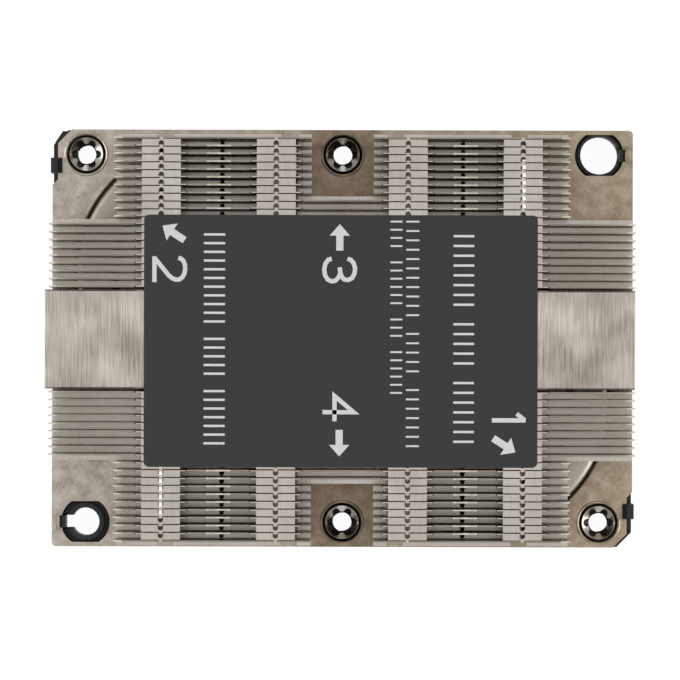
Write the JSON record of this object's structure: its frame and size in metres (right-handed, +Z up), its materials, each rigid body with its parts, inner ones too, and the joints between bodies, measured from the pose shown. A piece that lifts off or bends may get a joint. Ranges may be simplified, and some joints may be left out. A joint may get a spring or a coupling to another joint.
{
  "type": "passive server processor heatsink",
  "caption": "Low passive heatsink for a server processor: plated base with two zipper-fin stacks, a centre bar, inlaid heat pipes, captive nuts and a clipped carrier.",
  "frame": {"origin": "middle of the contact face, the underside of the base plate", "axes": "+X along the length of the fins, +Y across the width towards the two upper nuts, +Z up from the contact face to the fin tops"},
  "size_m": [0.1089, 0.0776, 0.0305],
  "materials": {
    "base_plating": "nickel plated, brushed across the length",
    "fin_sheet": "nickel plated rolled sheet",
    "bar_metal": "nickel plated, brushed across the length",
    "pipe_metal": "nickel plated with the base",
    "nut_steel": "turned and plated",
    "ring_steel": "sprung steel",
    "label_film": "satin printed film",
    "carrier_plastic": "moulded, fine matt texture"
  },
  "bodies": {
    "heatsink": {"base_plate": "base_plating", "heat_pipe_1": "pipe_metal", "heat_pipe_2": "pipe_metal", "centre_bar": "bar_metal", "fin_upper_01": "fin_sheet", "fin_upper_02": "fin_sheet", "fin_upper_03": "fin_sheet", "fin_upper_04": "fin_sheet", "fin_upper_05": "fin_sheet", "fin_upper_06": "fin_sheet", "fin_upper_07": "fin_sheet", "fin_upper_08": "fin_sheet", "fin_upper_09": "fin_sheet", "fin_upper_10": "fin_sheet", "fin_upper_11": "fin_sheet", "fin_upper_12": "fin_sheet", "fin_upper_13": "fin_sheet", "fin_upper_14": "fin_sheet", "fin_upper_15": "fin_sheet", "fin_upper_16": "fin_sheet", "fin_upper_17": "fin_sheet", "fin_upper_18": "fin_sheet", "fin_upper_19": "fin_sheet", "fin_upper_20": "fin_sheet", "fin_lower_01": "fin_sheet", "fin_lower_02": "fin_sheet", "fin_lower_03": "fin_sheet", "fin_lower_04": "fin_sheet", "fin_lower_05": "fin_sheet", "fin_lower_06": "fin_sheet", "fin_lower_07": "fin_sheet", "fin_lower_08": "fin_sheet", "fin_lower_09": "fin_sheet", "fin_lower_10": "fin_sheet", "fin_lower_11": "fin_sheet", "fin_lower_12": "fin_sheet", "fin_lower_13": "fin_sheet", "fin_lower_14": "fin_sheet", "fin_lower_15": "fin_sheet", "fin_lower_16": "fin_sheet", "fin_lower_17": "fin_sheet", "fin_lower_18": "fin_sheet", "fin_lower_19": "fin_sheet", "fin_lower_20": "fin_sheet", "label": "label_film", "processor_carrier": "carrier_plastic"},
    "ring_1": {"retaining_ring_1": "ring_steel"},
    "ring_2": {"retaining_ring_2": "ring_steel"},
    "ring_3": {"retaining_ring_3": "ring_steel"},
    "ring_4": {"retaining_ring_4": "ring_steel"},
    "nut_1": {"captive_nut_1": "nut_steel"},
    "nut_2": {"captive_nut_2": "nut_steel"},
    "nut_3": {"captive_nut_3": "nut_steel"},
    "nut_4": {"captive_nut_4": "nut_steel"}
  },
  "joints": [
    {"name": "nut_1_lift", "type": "slide", "parent": "heatsink", "child": "ring_1", "axis": [0, 0, 1], "range_m": [0, 0.001]},
    {"name": "nut_1_turn", "type": "hinge", "parent": "ring_1", "child": "nut_1", "pos_m": [-0.04775, 0.0342, 0.00225], "axis": [0, 0, 1], "continuous": true},
    {"name": "nut_2_lift", "type": "slide", "parent": "heatsink", "child": "ring_2", "axis": [0, 0, 1], "range_m": [0, 0.001]},
    {"name": "nut_2_turn", "type": "hinge", "parent": "ring_2", "child": "nut_2", "pos_m": [0, 0.0342, 0.00225], "axis": [0, 0, 1], "continuous": true},
    {"name": "nut_3_lift", "type": "slide", "parent": "heatsink", "child": "ring_3", "axis": [0, 0, 1], "range_m": [0, 0.001]},
    {"name": "nut_3_turn", "type": "hinge", "parent": "ring_3", "child": "nut_3", "pos_m": [0, -0.0342, 0.00225], "axis": [0, 0, 1], "continuous": true},
    {"name": "nut_4_lift", "type": "slide", "parent": "heatsink", "child": "ring_4", "axis": [0, 0, 1], "range_m": [0, 0.001]},
    {"name": "nut_4_turn", "type": "hinge", "parent": "ring_4", "child": "nut_4", "pos_m": [0.04775, -0.0342, 0.00225], "axis": [0, 0, 1], "continuous": true}
  ]
}
